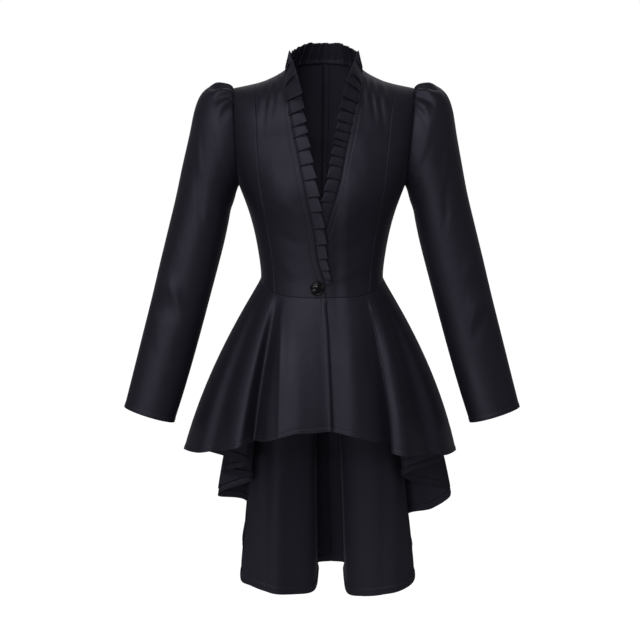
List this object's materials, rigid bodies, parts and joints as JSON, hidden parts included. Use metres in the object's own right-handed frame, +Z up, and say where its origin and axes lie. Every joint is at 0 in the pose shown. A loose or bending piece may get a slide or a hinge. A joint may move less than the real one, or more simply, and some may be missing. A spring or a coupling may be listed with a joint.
{
  "type": "women's high-low tailcoat, worn shape",
  "caption": "Hollow worn tailcoat with a deep V neck edged in pleated ruffle, gathered sleeve heads, one waist button, a flared skirt short in front and a long folded tail.",
  "frame": {"origin": "between the two points where the shoulder seams meet the collar, where the wearer's shoulders and neck carry the coat", "axes": "+Z up along the coat, +X to the wearer's left, the front faces -Y"},
  "size_m": [0.7542, 0.4211, 1.1066],
  "materials": {
    "satin": "black satin with a soft sheen",
    "ruffle": "the same satin, pressed into pleats",
    "button": "glossy black"
  },
  "bodies": {
    "root": {"front_right": "satin", "side_front_right": "satin", "side_back_right": "satin", "back_right": "satin", "front_left": "satin", "side_front_left": "satin", "side_back_left": "satin", "back_left": "satin", "sleeve_right": "satin", "sleeve_left": "satin", "front_skirt_right": "satin", "tail_right": "satin", "front_skirt_left": "satin", "tail_left": "satin", "ruffle_right": "ruffle", "ruffle_left": "ruffle", "ruffle_collar": "ruffle", "button": "button"}
  },
  "joints": []
}
